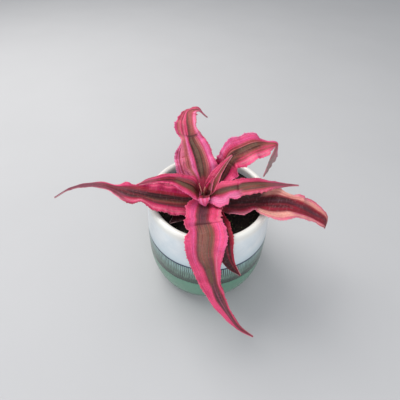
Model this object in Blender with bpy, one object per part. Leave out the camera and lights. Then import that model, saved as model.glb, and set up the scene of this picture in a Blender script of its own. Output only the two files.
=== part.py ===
# Cryptanthus, the pink earth star, standing in its glazed pot.
# Sizes are in millimetres and turned into metres by MM. The origin is the middle of the pot's
# underside, +Z is up and -Y is the side the plant is seen from.

import math
from dataclasses import dataclass

import bmesh
import bpy
import numpy as np

MM = 0.001
GAP = 0.3
SHARP_ANGLE = 50.0
MERGE = 0.001

# Pot: a bowl with a slight belly, a rounded lip and a flat foot
POT_HEIGHT = 83.0
RIM_RADIUS = 45.0
BELLY_RADIUS = 48.6
BELLY_HEIGHT = 34.0
FOOT_RADIUS = 37.5
FOOT_CURVE_HEIGHT = 30.0
FOOT_EASE = 1.0
FOOT_ARC_FROM = -88.0
INSIDE_ARC_FROM = -75.0
WALL = 5.0
FLOOR = 6.0
LIP_ROUND = 2.4
ARC_STEPS = 8
WALL_STEPS = 6
POT_SIDES = 60

# Soil: fills the pot up to just under the lip, a little lower round the stem
SOIL_CLEARANCE = 0.4
SOIL_LEVEL = 75.6
SOIL_DIP = 0.9
SOIL_BUMP = 0.35
SOIL_BUMP_TURN = 0.9
SOIL_RINGS = 7
SOIL_SIDES = 36

# Stem: a short stub that the leaves sit round
STEM_X = -3.0
STEM_Y = -4.0
STEM_FOOT = 56.0
STEM_RADIUS = 5.0
STEM_TAPER_FROM = 79.0
STEM_TOP = 85.8
STEM_TOP_RADIUS = 3.1
STEM_BEVEL = 1.2
STEM_SIDES = 20

# Leaf blades: thickness, mesh steps, and how the edges wave
BLADE_MIDDLE = 1.25
BLADE_EDGE = 0.8
ROW_STEP = 3.0
FEWEST_ROWS = 7
COLUMNS = 4
FINE_STEPS = 240
TIP_HALF_WIDTH = 0.45
EDGE_POWER = 2.2
WAVE_FROM = 6.0
WAVE_GROWS_OVER = 14.0
WAVE_FADES_OVER = 16.0
WAVE_WIDTH = 8.0
WIDEST_WAVE = 1.2
SCALLOP = 0.05
WANDER = 0.7
WANDER_LENGTH = 15.0
PINCH_REACH = 2.2
CLASP_REACH = 9.0
CLASP_CUP = 0.14


@dataclass
class Leaf:
    """One leaf. Each station is (out, side, up, left half-width, right half-width), where out
    and side are measured from the stem's axis along the heading, and up from the table.
    Wave, length and phase are the height, length and start of the waves on the left and the
    right edge. A pinch is (how far along, how deep), a clasp how far the left and right base
    edges reach back round the stem, and roll the turn at base and tip in degrees."""
    name: str
    heading: float
    stations: list
    colour: tuple
    roll: tuple = (0.0, 0.0)
    cup: float = 0.16
    wave: tuple = (1.6, 1.6)
    length: tuple = (13.0, 13.0)
    phase: tuple = (0.0, 2.1)
    pinch: tuple = (0.0, 0.0)
    clasp: tuple = (0.0, 0.0)


POT_GLAZE = (0.62, 0.70, 0.70)
SOIL_DARK = (0.022, 0.017, 0.013)
STEM_BROWN = (0.16, 0.10, 0.05)
HOT_PINK = (0.62, 0.035, 0.13)
ROSE = (0.50, 0.035, 0.10)
CRIMSON = (0.40, 0.012, 0.05)
PEACH = (0.56, 0.12, 0.11)
MAROON = (0.10, 0.010, 0.022)
GLAZE_ROUGHNESS = 0.25
SOIL_ROUGHNESS = 0.95
STEM_ROUGHNESS = 0.85
LEAF_ROUGHNESS = 0.5

LEAVES = [
    Leaf("leaf_front", -92,
         [(5, 0, 81.4, 7, 8), (12.8, 0.1, 85, 11.4, 12), (28.9, -0.8, 91.5, 12.6, 11.3),
          (34.9, -0.2, 92.8, 13.3, 11.8), (40.9, 2, 91.8, 12.7, 13.2),
          (49.8, 2.1, 83.2, 12.3, 11.9), (54.5, 5.6, 73.3, 7.5, 9.9), (56.8, 8, 61.8, 5.4, 8.9),
          (63.4, 10.1, 50.4, 7.2, 3.8), (69, 18.9, 40.5, 3.8, 3.1), (75, 28.8, 30.8, 2.2, 0.9),
          (77.2, 38.1, 25.8, 0.5, 0.5)],
         HOT_PINK, wave=(0.5, 1.4), length=(13.9, 15.1), phase=(0.65, 6.03), pinch=(28, 0.13)),
    Leaf("leaf_front_low", -70,
         [(5.6, 0, 79.4, 3.5, 3.5), (15, 0.5, 81, 6, 6), (29, 0, 83.6, 6.5, 6.5),
          (41, -2, 85.8, 6, 6.5), (48, -3, 81.6, 5, 6), (52.4, -1.5, 74.8, 3, 4.5),
          (59.5, 3.5, 66, 0.5, 0.5)],
         CRIMSON, wave=(1.0, 1.0), phase=(1.1, 3.2)),
    Leaf("leaf_right_low", -22,
         [(5.6, 0, 77, 4, 3.5), (14.1, 1.9, 79, 9, 7.2), (26.4, 2.8, 82.3, 11, 12.2),
          (35.6, 6.3, 84.5, 10.7, 6.3), (46.3, 6.7, 88.8, 13.5, 14.8),
          (59.1, 8.9, 89.7, 10.7, 13.2), (69, 11, 87.1, 11.8, 7.5), (77, 15.1, 80.6, 11.8, 6.5),
          (85.4, 15.4, 77.3, 6.3, 5.6), (86.7, 14.2, 73.4, 0.5, 0.5)],
         PEACH, roll=(0, 4), wave=(0.8, 0.9), length=(16.2, 18), phase=(1.73, 6.95)),
    Leaf("leaf_right_up", -8,
         [(4.7, 0, 83.7, 4, 6), (7.9, -1.3, 88.2, 6.5, 10.4), (12.4, -1.6, 90.7, 9.5, 15.7),
          (17.4, -0.8, 92.9, 8.5, 11.6), (22.7, -0.9, 94.9, 9.1, 8.5),
          (32.8, 2.3, 96.1, 8.1, 8.4), (44.9, 5.8, 96.2, 4.6, 5), (55.1, 9.4, 94.7, 2, 2.2),
          (65.7, 12.6, 93.2, 0.5, 0.5)],
         HOT_PINK, wave=(0.4, 0.6), length=(13.4, 14.3), phase=(2.03, 6.5), pinch=(24, 0.12)),
    Leaf("leaf_back_right", 45,
         [(5.4, 0, 81, 4, 3), (13.5, 0.5, 86, 6.5, 6), (18.5, -0.6, 92.7, 9.5, 8.8),
          (21.6, -1, 100.4, 10.4, 11.5), (23.9, -2.3, 108.4, 11, 10.5),
          (27.9, -7.8, 114.1, 11.1, 10.5), (36, -11.4, 116.6, 9.3, 9.6),
          (45.4, -14.9, 115.9, 2, 8.1), (49.8, -19, 115.2, 2.2, 3), (47, -19.7, 104.8, 6.6, 1.9),
          (38, -22.2, 93.8, 0.5, 0.5)],
         HOT_PINK, wave=(1.2, 2.1), length=(13.4, 16), phase=(1.73, 2.41), pinch=(27, 0.06)),
    Leaf("leaf_inner_right", 50,
         [(1.4, -0.4, 87, 2.6, 3.6), (2.4, -2, 92.5, 3.8, 5.4), (4.6, -3.8, 99.5, 4.2, 5.3),
          (8.2, -5.6, 106, 3.4, 3.8), (11.5, -7.7, 112.5, 1.8, 2), (14.4, -9.8, 117.5, 0.5, 0.5)],
         ROSE, cup=0.2, wave=(0.5, 0.5), length=(9, 9), phase=(0.2, 2.3)),
    Leaf("leaf_back", 102,
         [(5.2, 0, 82.7, 4, 4.5), (9.1, 0, 90.5, 6, 8.5), (13.4, -0.2, 99.6, 12.6, 10.6),
          (21.3, 1, 106.9, 13.7, 8.8), (28.8, 4.6, 113.2, 9.2, 8.9),
          (36.5, 4.5, 118.5, 11.4, 4.5), (46.2, 4, 118.3, 9.7, 5.6), (55, 2.8, 120.3, 3.6, 6.7),
          (59.5, -5.4, 118.8, 4.4, 2.6), (61, -11.1, 113, 3.6, 0.8),
          (63.2, -13.8, 109.8, 0.5, 0.5)],
         HOT_PINK, wave=(1.7, 1.2), length=(14.4, 13.2), phase=(3.79, 4.57), pinch=(42, 0.10)),
    Leaf("leaf_left_up", 172,
         [(5, 0, 85.4, 8.5, 4), (9.3, 2, 93.3, 10.8, 7.4), (15.7, 4.8, 98.9, 7, 5.6),
          (23.7, 6.9, 102.8, 4.7, 3.7), (30.5, 11.4, 104.4, 2.3, 3.0),
          (37.7, 13.5, 103.2, 1.5, 2.1), (43.8, 13.9, 100.2, 0.5, 0.5)],
         ROSE, roll=(-5, -5), wave=(0.8, 0.9), length=(11.3, 11.4), phase=(1.02, 2.36),
         clasp=(4.5, 0.0)),
    Leaf("leaf_left_low", 192,
         [(5.6, 0, 80.2, 4, 4), (12.8, 1.4, 82, 12.3, 9), (24.7, 1.9, 85.5, 13.5, 12.5),
          (35.2, 1.8, 88.9, 11.9, 12.9), (44.2, 0.4, 92, 7.9, 10.6), (53.9, -1.5, 95, 10.4, 7.9),
          (61.4, -4, 96.9, 5.4, 3.5), (69.7, -6.6, 99.3, 3.7, 2.5), (81.2, -9.8, 98.2, 2.8, 1.6),
          (94.4, -14.7, 91.9, 2.2, 1.1), (107.7, -18.2, 82.1, 0.5, 0.5)],
         CRIMSON, roll=(-14, 0), wave=(0.5, 1.7), length=(12.5, 12.9), phase=(1.72, 5.17),
         pinch=(42, 0.10)),
    Leaf("leaf_low_left", 226,
         [(5.6, 0, 77.6, 3.5, 3), (13, 0, 78.3, 7, 7), (21, 0, 79.4, 8.5, 8),
          (28, -0.5, 79.8, 7, 6), (33.5, -1, 79.4, 0.5, 0.5)],
         MAROON, wave=(0.8, 0.8), length=(9, 9), phase=(2.0, 4.1)),
    Leaf("leaf_back_low", 114,
         [(5.6, 0, 78.6, 3.5, 3.5), (14, 0.2, 83.5, 7, 7), (26.1, 1.4, 89.9, 11.4, 9),
          (38.1, -0.1, 94.1, 8.8, 8.5), (48.5, -3.1, 94.8, 4.6, 6), (57.2, -3.1, 92.2, 0.5, 0.5)],
         CRIMSON, wave=(1.1, 1.3), length=(12, 11), phase=(0.87, 3.5)),
    Leaf("leaf_heart_a", 182,
         [(2.6, 0, 86.4, 1.3, 1.3), (3.2, 0, 90.3, 2, 2), (4.6, 0, 95.5, 0.5, 0.5)],
         ROSE, cup=0.0, wave=(0.2, 0.2), length=(6, 6)),
    Leaf("leaf_heart_b", 235,
         [(1.7, 1.9, 86.4, 2.1, 2.3), (1.6, 2.7, 90.7, 3.1, 3.3), (-0.3, 3.7, 97, 1.9, 1.9),
          (-2.4, 4.6, 102, 0.5, 0.5)],
         ROSE, cup=0.0, wave=(0.2, 0.2), length=(6, 6)),
    Leaf("leaf_heart_c", 266,
         [(4.6, 0, 87.4, 2.6, 2.2), (8.6, -0.5, 91.2, 3.9, 3), (13.2, 0.5, 91.2, 3, 4.1),
          (14.2, 1.2, 88, 0.5, 0.5)],
         HOT_PINK, cup=0.1, wave=(0.3, 0.3), length=(6, 6)),
]


def material(name, colour, roughness, metallic=0.0):
    made = bpy.data.materials.new(name)
    made.use_nodes = True
    shader = made.node_tree.nodes["Principled BSDF"]
    shader.inputs["Base Color"].default_value = (*colour, 1.0)
    shader.inputs["Roughness"].default_value = roughness
    shader.inputs["Metallic"].default_value = metallic
    made.diffuse_color = (*colour, 1.0)
    return made


def finished(name, shape, surface, parent):
    """Turns a bmesh in mm into an object in metres with its material, shaded smooth."""
    bmesh.ops.scale(shape, vec=(MM, MM, MM), verts=shape.verts)
    mesh = bpy.data.meshes.new(name)
    shape.to_mesh(mesh)
    shape.free()
    mesh.shade_smooth()
    mesh.set_sharp_from_angle(angle=math.radians(SHARP_ANGLE))
    mesh.materials.append(surface)
    made = bpy.data.objects.new(name, mesh)
    bpy.context.collection.objects.link(made)
    made.parent = parent
    return made


def turned(profile, sides):
    """A closed solid spun round the Z axis from (radius, height) points, axis to axis."""
    shape = bmesh.new()
    points = [shape.verts.new((radius, 0.0, height)) for radius, height in profile]
    edges = [shape.edges.new(pair) for pair in zip(points, points[1:])]
    bmesh.ops.spin(shape, geom=points + edges, axis=(0, 0, 1), angle=math.tau, steps=sides,
                   use_merge=True)
    bmesh.ops.remove_doubles(shape, verts=shape.verts, dist=MERGE)
    bmesh.ops.recalc_face_normals(shape, faces=shape.faces)
    return shape


def arc(centre, radii, start, end):
    """Points of an elliptical arc, angles in degrees from the outward direction."""
    turns = np.radians(np.linspace(start, end, ARC_STEPS + 1))
    return [(centre[0] + radii[0] * math.cos(a), centre[1] + radii[1] * math.sin(a)) for a in turns]


def wall_heights(top):
    """Even heights up the wall, from just above the foot's curve to the top."""
    return np.linspace(FOOT_CURVE_HEIGHT, top, WALL_STEPS + 1)[1:]


def outer_radius(height):
    """Radius of the pot's outer wall: a parabola above the foot's curve."""
    rise = (height - BELLY_HEIGHT) / (POT_HEIGHT - BELLY_HEIGHT)
    return BELLY_RADIUS - (BELLY_RADIUS - RIM_RADIUS) * rise * rise


def inner_radius(height):
    return outer_radius(height) - WALL


def inside_profile(inset, top):
    """The pot's hollow from its middle to the given height, shrunk by the inset."""
    foot = FOOT_RADIUS - WALL
    floor = FLOOR + inset
    reach = (inner_radius(FOOT_CURVE_HEIGHT) - foot, FOOT_CURVE_HEIGHT - floor)
    points = [(0.0, floor), (foot - inset, floor)]
    points += arc((foot - inset, FOOT_CURVE_HEIGHT), reach, INSIDE_ARC_FROM, 0)
    points += [(inner_radius(height) - inset, height) for height in wall_heights(top)]
    return points


def build_pot(parent):
    foot_reach = outer_radius(FOOT_CURVE_HEIGHT) - FOOT_RADIUS
    shoulder = POT_HEIGHT - LIP_ROUND
    outside = [(0.0, 0.0), (FOOT_RADIUS - FOOT_EASE, 0.0)]
    outside += arc((FOOT_RADIUS, FOOT_CURVE_HEIGHT), (foot_reach, FOOT_CURVE_HEIGHT),
                   FOOT_ARC_FROM, 0)
    outside += [(outer_radius(height), height) for height in wall_heights(shoulder)[:-1]]
    half_wall = WALL / 2
    lip = arc((outer_radius(shoulder) - half_wall, shoulder), (half_wall, LIP_ROUND), 0, 180)
    inside = inside_profile(0.0, shoulder)[:-1]
    shape = turned(outside + lip + inside[::-1], POT_SIDES)
    return finished("pot", shape, material("pot_glaze", POT_GLAZE, GLAZE_ROUGHNESS), parent)


def build_soil(parent):
    """The soil fills the pot below its lip and has a plain hole that the stem stands in."""
    side = inside_profile(SOIL_CLEARANCE, SOIL_LEVEL)
    rim = side[-1][0]
    top = [(rim * (1 - part), SOIL_LEVEL - SOIL_DIP * part)
           for part in np.linspace(0.0, 1.0, SOIL_RINGS + 1)[1:]]
    shape = turned(side + top, SOIL_SIDES)
    for vert in shape.verts:
        x, y, z = vert.co
        if z > SOIL_LEVEL - SOIL_DIP - MERGE and math.hypot(x, y) < rim - MERGE:
            bump = math.sin(SOIL_BUMP_TURN * (x + y / 2)) * math.cos(SOIL_BUMP_TURN * (y - x / 3))
            vert.co.z = z + SOIL_BUMP * bump
    soil = finished("soil", shape, material("soil_dark", SOIL_DARK, SOIL_ROUGHNESS), parent)
    hole = bmesh.new()
    bmesh.ops.create_cone(hole, cap_ends=True, segments=STEM_SIDES, radius1=STEM_RADIUS + GAP,
                          radius2=STEM_RADIUS + GAP, depth=2 * (SOIL_LEVEL - STEM_FOOT + GAP))
    cutter = finished("stem_hole", hole, soil.data.materials[0], parent)
    cutter.location = (STEM_X * MM, STEM_Y * MM, SOIL_LEVEL * MM)
    cutter.hide_render = True
    cutter.display_type = "WIRE"
    cut = soil.modifiers.new("stem hole", "BOOLEAN")
    cut.operation = "DIFFERENCE"
    cut.object = cutter
    return soil


def build_stem(parent):
    height = STEM_TOP - STEM_FOOT
    taper_from = STEM_TAPER_FROM - STEM_FOOT
    profile = [(0.0, 0.0), (STEM_RADIUS - STEM_BEVEL, 0.0), (STEM_RADIUS, STEM_BEVEL),
               (STEM_RADIUS, taper_from), (STEM_TOP_RADIUS, height), (0.0, height)]
    surface = material("stem_fibre", STEM_BROWN, STEM_ROUGHNESS)
    stem = finished("stem", turned(profile, STEM_SIDES), surface, parent)
    stem.location = (STEM_X * MM, STEM_Y * MM, STEM_FOOT * MM)
    return stem


def smooth(knots, values, at):
    """A smooth curve through the values: cubic pieces with slopes from the neighbours."""
    steps = np.diff(knots)[:, None]
    slopes = np.diff(values, axis=0) / steps
    inner = (slopes[:-1] * steps[1:] + slopes[1:] * steps[:-1]) / (steps[1:] + steps[:-1])
    tangents = np.vstack([slopes[:1], inner, slopes[-1:]])
    piece = np.clip(np.searchsorted(knots, at, side="right") - 1, 0, len(knots) - 2)
    width = steps[piece]
    part = (at[:, None] - knots[piece][:, None]) / width
    start, end = values[piece], values[piece + 1]
    first, second = tangents[piece] * width, tangents[piece + 1] * width
    rest = 1 - part
    return (start * rest * rest * (1 + 2 * part) + end * part * part * (3 - 2 * part)
            + first * part * rest * rest - second * part * part * rest)


def centre_line(leaf):
    """Fine points along the leaf's middle, with its side and up directions and half-widths."""
    stations = np.array(leaf.stations, float)
    spans = np.linalg.norm(np.diff(stations[:, :3], axis=0), axis=1)
    knots = np.concatenate([[0.0], np.cumsum(spans)])
    along = np.linspace(0.0, knots[-1], FINE_STEPS + 1)
    values = smooth(knots, stations, along)
    middle = values[:, :3]
    widths = np.maximum(values[:, 3:5], TIP_HALF_WIDTH)
    tangent = np.gradient(middle, axis=0)
    tangent /= np.linalg.norm(tangent, axis=1)[:, None]
    side = np.zeros_like(middle)
    carried = np.array([0.0, 1.0, 0.0])
    for k in range(len(middle)):
        carried = carried - tangent[k] * carried.dot(tangent[k])
        carried = carried / np.linalg.norm(carried)
        side[k] = carried
    up = np.cross(tangent, side)
    roll = np.radians(np.linspace(leaf.roll[0], leaf.roll[1], len(along)))[:, None]
    side = side * np.cos(roll) + up * np.sin(roll)
    return along, middle, side, np.cross(tangent, side), widths


def bent(leaf, part, across):
    """Points of the blade's middle surface, a channel with waved and scalloped edges. Part runs
    from 0 at the root to 1 at the tip, and across from -1 at the right edge to 1 at the left."""
    along, middle, side, up, widths = centre_line(leaf)
    length = along[-1]
    at = part * length
    middle, side, up, widths = [
        np.stack([np.interp(at, along, column) for column in field.T], axis=1)
        for field in (middle, side, up, widths)]
    grown = np.clip((at - WAVE_FROM) / WAVE_GROWS_OVER, 0.0, 1.0)
    ramp = grown * np.clip((length - at) / WAVE_FADES_OVER, 0.0, 1.0)
    pinch_at, pinch_depth = leaf.pinch
    pinched = 1.0 - pinch_depth * np.exp(-((at - pinch_at) / PINCH_REACH) ** 2)
    near = np.exp(-((at / CLASP_REACH) ** 2))
    left = across > 0
    half = np.where(left, widths[:, 0], widths[:, 1])
    phase = np.where(left, *leaf.phase)
    turn = math.tau * at / np.where(left, *leaf.length) + phase
    turn = turn + WANDER * np.sin(at / WANDER_LENGTH + phase)
    edge = np.abs(across) ** EDGE_POWER
    reach = across * half * pinched * (1.0 + SCALLOP * ramp * edge * np.cos(turn))
    height = np.where(left, *leaf.wave) * np.minimum(half / WAVE_WIDTH, WIDEST_WAVE)
    lift = (leaf.cup + CLASP_CUP * near) * half * across ** 2
    lift = lift + height * ramp * edge * np.sin(turn)
    hold = np.where(left, *leaf.clasp) * near * across ** 2
    inward = np.array([-1.0, 0.0, 0.0])
    return middle + side * reach[:, None] + up * lift[:, None] + inward * hold[:, None]


def build_leaf(leaf, parent):
    """A flat grid bent into the leaf's middle surface and thickened, more so in its middle."""
    length = centre_line(leaf)[0][-1]
    rows = max(FEWEST_ROWS, round(length / ROW_STEP))
    shape = bmesh.new()
    bmesh.ops.create_grid(shape, x_segments=rows, y_segments=COLUMNS, size=1.0)
    flat = np.array([vert.co[:] for vert in shape.verts])
    across = flat[:, 1]
    for vert, point in zip(shape.verts, bent(leaf, (flat[:, 0] + 1.0) / 2.0, across)):
        vert.co = point
    bmesh.ops.triangulate(shape, faces=shape.faces, quad_method="SHORT_EDGE")
    surface = material(leaf.name + "_skin", leaf.colour, LEAF_ROUGHNESS)
    made = finished(leaf.name, shape, surface, parent)
    made.location = (STEM_X * MM, STEM_Y * MM, 0.0)
    made.rotation_euler.z = math.radians(leaf.heading)
    inside = made.vertex_groups.new(name="inside")
    for k, place in enumerate(across):
        inside.add([k], 1.0 - abs(place), "REPLACE")
    thicken = made.modifiers.new("thickness", "SOLIDIFY")
    thicken.thickness = BLADE_MIDDLE * MM
    thicken.offset = 0.0
    thicken.vertex_group = inside.name
    thicken.thickness_vertex_group = BLADE_EDGE / BLADE_MIDDLE
    return made


def main():
    for old in list(bpy.data.objects):
        bpy.data.objects.remove(old, do_unlink=True)
    plant = bpy.data.objects.new("cryptanthus", None)
    bpy.context.collection.objects.link(plant)
    build_pot(plant)
    build_soil(plant)
    build_stem(plant)
    for leaf in LEAVES:
        build_leaf(leaf, plant)


main()
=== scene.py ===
# %% [markdown]
# A potted cryptanthus, the pink earth star
#
# This notebook dresses a finished construction model of a small house plant. The construction
# model, called the frame here, already holds every piece at its real size and place: a glazed
# pot, the soil, a short stem and its leaves. We load it, keep its places and sizes, and make
# the surfaces that the eye sees: waved and toothed leaves, glaze, and crumbly soil.
# All lengths below are written in millimetres and turned into metres with MM.

import math
import random
from dataclasses import dataclass

import bpy
import numpy as np
from mathutils import Euler, Matrix, Vector


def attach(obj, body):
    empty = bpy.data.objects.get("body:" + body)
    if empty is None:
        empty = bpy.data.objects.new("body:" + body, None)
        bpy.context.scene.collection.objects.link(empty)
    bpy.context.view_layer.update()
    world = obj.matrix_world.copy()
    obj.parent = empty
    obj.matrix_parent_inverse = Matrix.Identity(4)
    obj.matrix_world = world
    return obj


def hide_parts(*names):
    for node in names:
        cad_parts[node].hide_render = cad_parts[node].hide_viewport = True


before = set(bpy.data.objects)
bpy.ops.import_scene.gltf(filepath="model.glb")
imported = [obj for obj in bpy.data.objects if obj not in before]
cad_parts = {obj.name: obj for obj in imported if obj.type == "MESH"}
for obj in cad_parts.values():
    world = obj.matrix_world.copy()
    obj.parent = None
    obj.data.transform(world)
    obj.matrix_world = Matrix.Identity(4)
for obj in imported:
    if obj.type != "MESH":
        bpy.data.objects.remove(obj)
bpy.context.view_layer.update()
MM = 0.001
print("nodes:", sorted(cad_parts))

# %% [markdown]
# The camera
#
# The picture was taken from in front and above, looking down at about 46 degrees with a
# wide lens close to the plant. A camera close by makes near things large: the leaf that hangs
# towards us looks longer than the one behind, so the distance matters as much as the angle.
# We place the camera by its position, its downward angle and a small roll.

# %% Camera
CAMERA_PLACE = (-6.66, -158.91, 240.02)
CAMERA_DOWN = 46.14
CAMERA_ROLL = 1.569
CAMERA_LENS = 27.0
CAMERA_SENSOR = 36.0

bpy.ops.object.select_all(action="DESELECT")
bpy.ops.object.camera_add()
camera = bpy.context.active_object
camera.name = "camera"
tilt = Matrix.Rotation(math.radians(90.0 - CAMERA_DOWN), 4, "X")
roll = Matrix.Rotation(math.radians(CAMERA_ROLL), 4, "Z")
camera.matrix_world = Matrix.Translation(Vector(CAMERA_PLACE) * MM) @ tilt @ roll
camera.data.lens = CAMERA_LENS
camera.data.sensor_width = CAMERA_SENSOR
camera.data.clip_start = 0.01
scene = bpy.context.scene
scene.camera = camera
print("camera looks down by", CAMERA_DOWN, "degrees")

# %% [markdown]
# Light and floor
#
# Soft daylight from a window gives broad, gentle shadows. A large area lamp, up on the left and
# a little behind the plant, is that window. A weaker one in front keeps the near sides from
# going dark, and a pale sky fills the rest. The floor is plain and pale, so nothing on it
# competes with the plant.

# %% Floor, lamps and sky
FLOOR_SIZE = 14.0
FLOOR_GREY = (0.52, 0.52, 0.53, 1.0)
SKY = (0.93, 0.96, 1.0, 1.0)
SKY_STRENGTH = 0.55
AIM = (0.0, 0.0, 0.08)


def lamp(name, place, size, power, colour):
    """A square area lamp in metres and watts that faces the plant."""
    bpy.ops.object.light_add(type="AREA", location=place)
    made = bpy.context.active_object
    made.name = name
    made.data.size = size
    made.data.energy = power
    made.data.color = colour
    aim = Vector(AIM) - Vector(place)
    made.rotation_euler = aim.to_track_quat("-Z", "Y").to_euler()
    return made


bpy.ops.mesh.primitive_plane_add(size=FLOOR_SIZE)
floor = bpy.context.active_object
floor.name = "floor"
lamp("window", place=(-0.45, 0.35, 0.85), size=0.7, power=8.0, colour=(1.0, 0.98, 0.95))
lamp("room", place=(0.0, -0.85, 0.5), size=0.9, power=5.0, colour=(0.95, 0.97, 1.0))
scene.world = bpy.data.worlds.new("sky")
scene.world.use_nodes = True
background = scene.world.node_tree.nodes["Background"]
background.inputs["Color"].default_value = SKY
background.inputs["Strength"].default_value = SKY_STRENGTH
scene.view_settings.view_transform = "Standard"

# %% [markdown]
# A small language for materials
#
# Material nodes are boxes joined by wires. Long chains of boxes are hard to read in code, so
# we wrap one wire in a class whose plus, minus and times add the Math box for us. Everything
# else comes from one method that takes the kind of box, its settings and what goes into it.

# %% Wires that can be added and multiplied
class Wire:
    """One output of a node. Sums with numbers or other wires add Math nodes."""

    def __init__(self, recipe, socket):
        self.recipe = recipe
        self.socket = socket

    def maths(self, operation, *values):
        sockets = dict(enumerate(values))
        return self.recipe.node("ShaderNodeMath", {"operation": operation}, sockets)

    def beside(self, out):
        """Another output of the same node."""
        return Wire(self.recipe, self.socket.node.outputs[out])

    def __add__(self, other):
        return self.maths("ADD", self, other)

    def __sub__(self, other):
        return self.maths("SUBTRACT", self, other)

    def __rsub__(self, other):
        return self.maths("SUBTRACT", other, self)

    def __mul__(self, other):
        return self.maths("MULTIPLY", self, other)

    def __truediv__(self, other):
        return self.maths("DIVIDE", self, other)

    def __pow__(self, other):
        return self.maths("POWER", self, other)

    def __abs__(self):
        return self.maths("ABSOLUTE", self)

    __radd__ = __add__
    __rmul__ = __mul__


# %% A recipe is one material
class Recipe:
    """A material that is being made, with one method that adds any node."""

    def __init__(self, name, **constants):
        self.material = bpy.data.materials.new(name)
        self.material.use_nodes = True
        self.tree = self.material.node_tree
        self.shader = self.tree.nodes["Principled BSDF"]
        for socket, value in constants.items():
            self.shader.inputs[socket.replace("_", " ")].default_value = value

    def node(self, kind, settings, sockets, out=0):
        """Adds a node: its settings first, then the values or wires of its sockets."""
        made = self.tree.nodes.new(kind)
        for name, value in settings.items():
            if name == "stops":
                ramp = made.color_ramp.elements
                while len(ramp) < len(value):
                    ramp.new(0.5)
                for stop, (place, colour) in zip(ramp, value):
                    stop.position = place
                    stop.color = colour
            else:
                setattr(made, name, value)
        for name, value in sockets.items():
            self.fill(made.inputs[name], value)
        return Wire(self, made.outputs[out])

    def fill(self, socket, value):
        if isinstance(value, Wire):
            self.tree.links.new(value.socket, socket)
        else:
            socket.default_value = value

    def set(self, name, value):
        """Sends a wire or a value into the shader."""
        self.fill(self.shader.inputs[name], value)

    def place(self):
        """The point of the surface in the piece's own coordinates, in metres."""
        return self.node("ShaderNodeTexCoord", {}, {}, out=3)

    def ramp(self, stops, value):
        """A colour ramp that a value runs through."""
        return self.node("ShaderNodeValToRGB", {"stops": stops}, {0: value})

    def noise(self, place, scale, detail=2.0, rough=0.5):
        return self.node("ShaderNodeTexNoise", {},
                         {"Vector": place, "Scale": scale, "Detail": detail, "Roughness": rough})

    def step(self, value, low, high, start=0.0, end=1.0):
        """A smooth step: start below low, end above high."""
        sockets = {"Value": value, "From Min": low, "From Max": high, "To Min": start, "To Max": end}
        return self.node("ShaderNodeMapRange", {"interpolation_type": "SMOOTHSTEP"}, sockets)

    def mix(self, factor, first, second, blend="MIX"):
        return self.node("ShaderNodeMix", {"data_type": "RGBA", "blend_type": blend},
                         {0: factor, 6: first, 7: second}, out=2)

    def point(self, x, y, z):
        return self.node("ShaderNodeCombineXYZ", {}, {0: x, 1: y, 2: z})

    def bump(self, height, strength, distance):
        made = self.node("ShaderNodeBump", {},
                         {"Height": height, "Strength": strength, "Distance": distance})
        self.set("Normal", made)


def ink(red, green, blue):
    """A colour as a painter reads it off a screen, from 0 to 255, as the shader's own values."""
    def linear(level):
        part = level / 255.0
        return part / 12.92 if part <= 0.04045 else ((part + 0.055) / 1.055) ** 2.4
    return (linear(red), linear(green), linear(blue), 1.0)


print("hot pink is", [round(part, 3) for part in ink(236, 80, 130)])

# %% [markdown]
# The floor's finish
#
# A flat grey looks like a computer picture. A very weak mottle in the colour is enough to
# make it read as a real, plain surface.

# %% Floor finish
MOTTLE_SCALE = 9.0
MOTTLE_SHADE = 0.93

plaster = Recipe("floor_plain", Roughness=0.8)
mottle = plaster.noise(plaster.place(), MOTTLE_SCALE, 4.0)
darker = tuple(MOTTLE_SHADE * part for part in FLOOR_GREY[:3]) + (1.0,)
plaster.set("Base Color", plaster.mix(mottle, FLOOR_GREY, darker))
floor.data.materials.append(plaster.material)

# %% [markdown]
# The pot's shape
#
# The pot is a thrown bowl with a slight belly, a soft rounded lip and a flat foot. A potter
# raises it ring by ring, and so do we: a circle is extruded upwards again and again, and each
# new ring is scaled to the radius of the wall at that height. At the lip the rings turn over
# and run down inside. A shallow groove marks where the two glazes meet.

# %% Measures of the pot
POT_HEIGHT = 83.0
RIM_RADIUS = 45.0
BELLY_RADIUS = 48.6
BELLY_HEIGHT = 34.0
FOOT_RADIUS = 37.5
FOOT_CURVE_HEIGHT = 30.0
WALL = 5.0
POT_FLOOR = 6.0
LIP_ROUND = 2.4
GLAZE_LINE = 52.9
HATCH_FOOT = 33.0
GROOVE_DEPTH = 0.22
GROOVE_HALF = 0.5
POT_SIDES = 96
FOOT_EASE = ((2.2, 0.0), (0.9, 0.12))
LOW_RINGS = (0.7, 1.6, 3.0, 5.0, 8.0, 11.5, 15.5)
WALL_RINGS = (19.5, 49.0, 3.0)
GROOVE_RINGS = (50.4, 53.6, 0.5)
ABOVE_GROOVE = 55.5
FINGER_WAVES = ((0.05, 2.1, 0.0), (0.04, 3.7, 1.0))
FINGER_INSET = 0.09


def outer_radius(height):
    """Radius of the wall at a height: a parabola above the foot's curve, an ellipse below."""
    if height >= FOOT_CURVE_HEIGHT:
        rise = (height - BELLY_HEIGHT) / (POT_HEIGHT - BELLY_HEIGHT)
        return BELLY_RADIUS - (BELLY_RADIUS - RIM_RADIUS) * rise * rise
    reach = outer_radius(FOOT_CURVE_HEIGHT) - FOOT_RADIUS
    drop = (FOOT_CURVE_HEIGHT - height) / FOOT_CURVE_HEIGHT
    return FOOT_RADIUS + reach * math.sqrt(max(0.0, 1.0 - drop * drop))


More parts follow.
